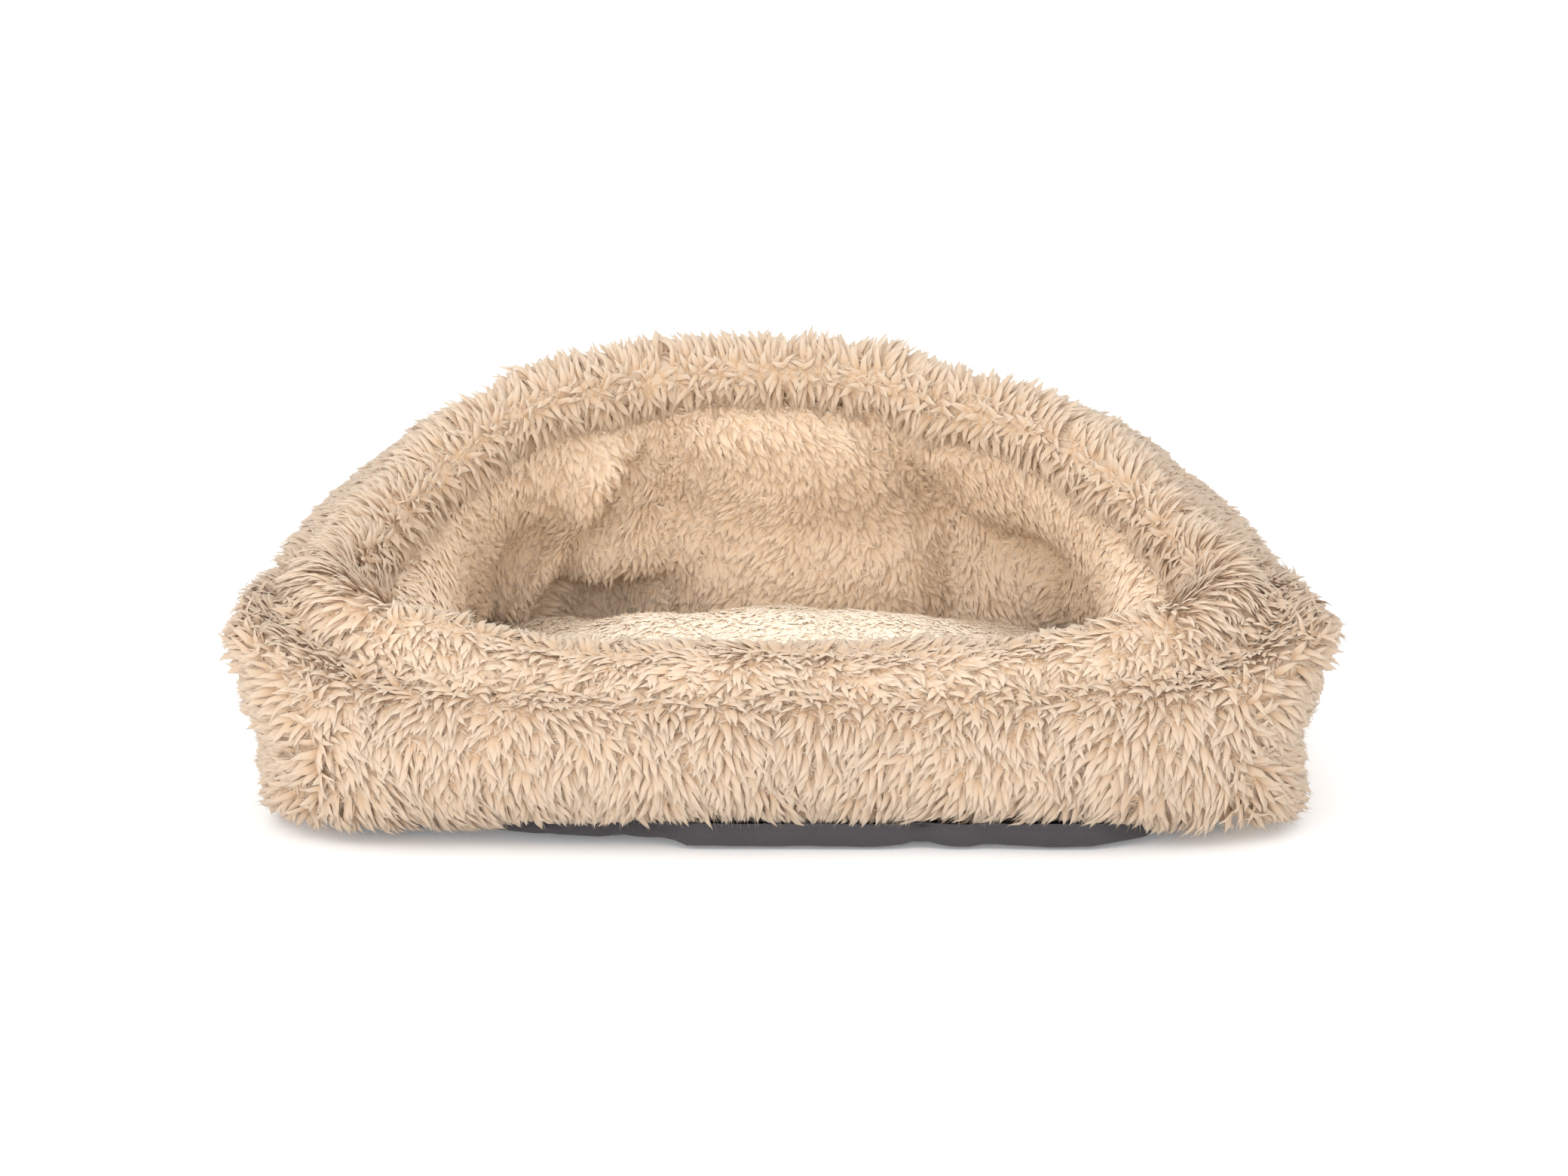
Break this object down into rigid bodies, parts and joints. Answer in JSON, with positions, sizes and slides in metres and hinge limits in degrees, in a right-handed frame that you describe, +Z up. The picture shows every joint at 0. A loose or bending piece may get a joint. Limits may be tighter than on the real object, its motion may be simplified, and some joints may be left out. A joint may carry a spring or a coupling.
{
  "type": "pet cushion bed",
  "caption": "Plush pet bed with a quilted seat, a low front wall and high stuffed walls that lean in over it as a hood.",
  "frame": {"origin": "on the floor, under the middle of the bed's bounding box", "axes": "+X across the bed, +Y to its back, +Z up"},
  "size_m": [0.582, 0.504, 0.2319],
  "materials": {
    "plush": "long cream pile, matt",
    "lining_plush": "long cream pile, matt, a little darker",
    "base_cloth": "dark grey woven cloth, matt",
    "fibre_filling": "white polyester fibre",
    "thread": "beige sewing thread"
  },
  "bodies": {
    "root": {"base_cloth": "base_cloth", "seat_filling": "fibre_filling", "seat_cloth": "plush", "front_outer_cloth": "plush", "front_inner_cloth": "lining_plush", "front_filling": "fibre_filling", "roll_filling": "fibre_filling", "roll_front_cloth": "plush", "roll_hood_cloth": "plush", "seat_tack_1": "thread", "seat_tack_2": "thread", "seat_tack_3": "thread", "seat_tack_4": "thread", "right_outer_cloth": "plush", "right_hood_cloth": "plush", "right_filling": "fibre_filling", "right_lining_cloth": "lining_plush", "back_outer_cloth": "plush", "back_hood_cloth": "plush", "back_filling": "fibre_filling", "back_lining_cloth": "lining_plush", "left_outer_cloth": "plush", "left_hood_cloth": "plush", "left_filling": "fibre_filling", "left_lining_cloth": "lining_plush"}
  },
  "joints": []
}
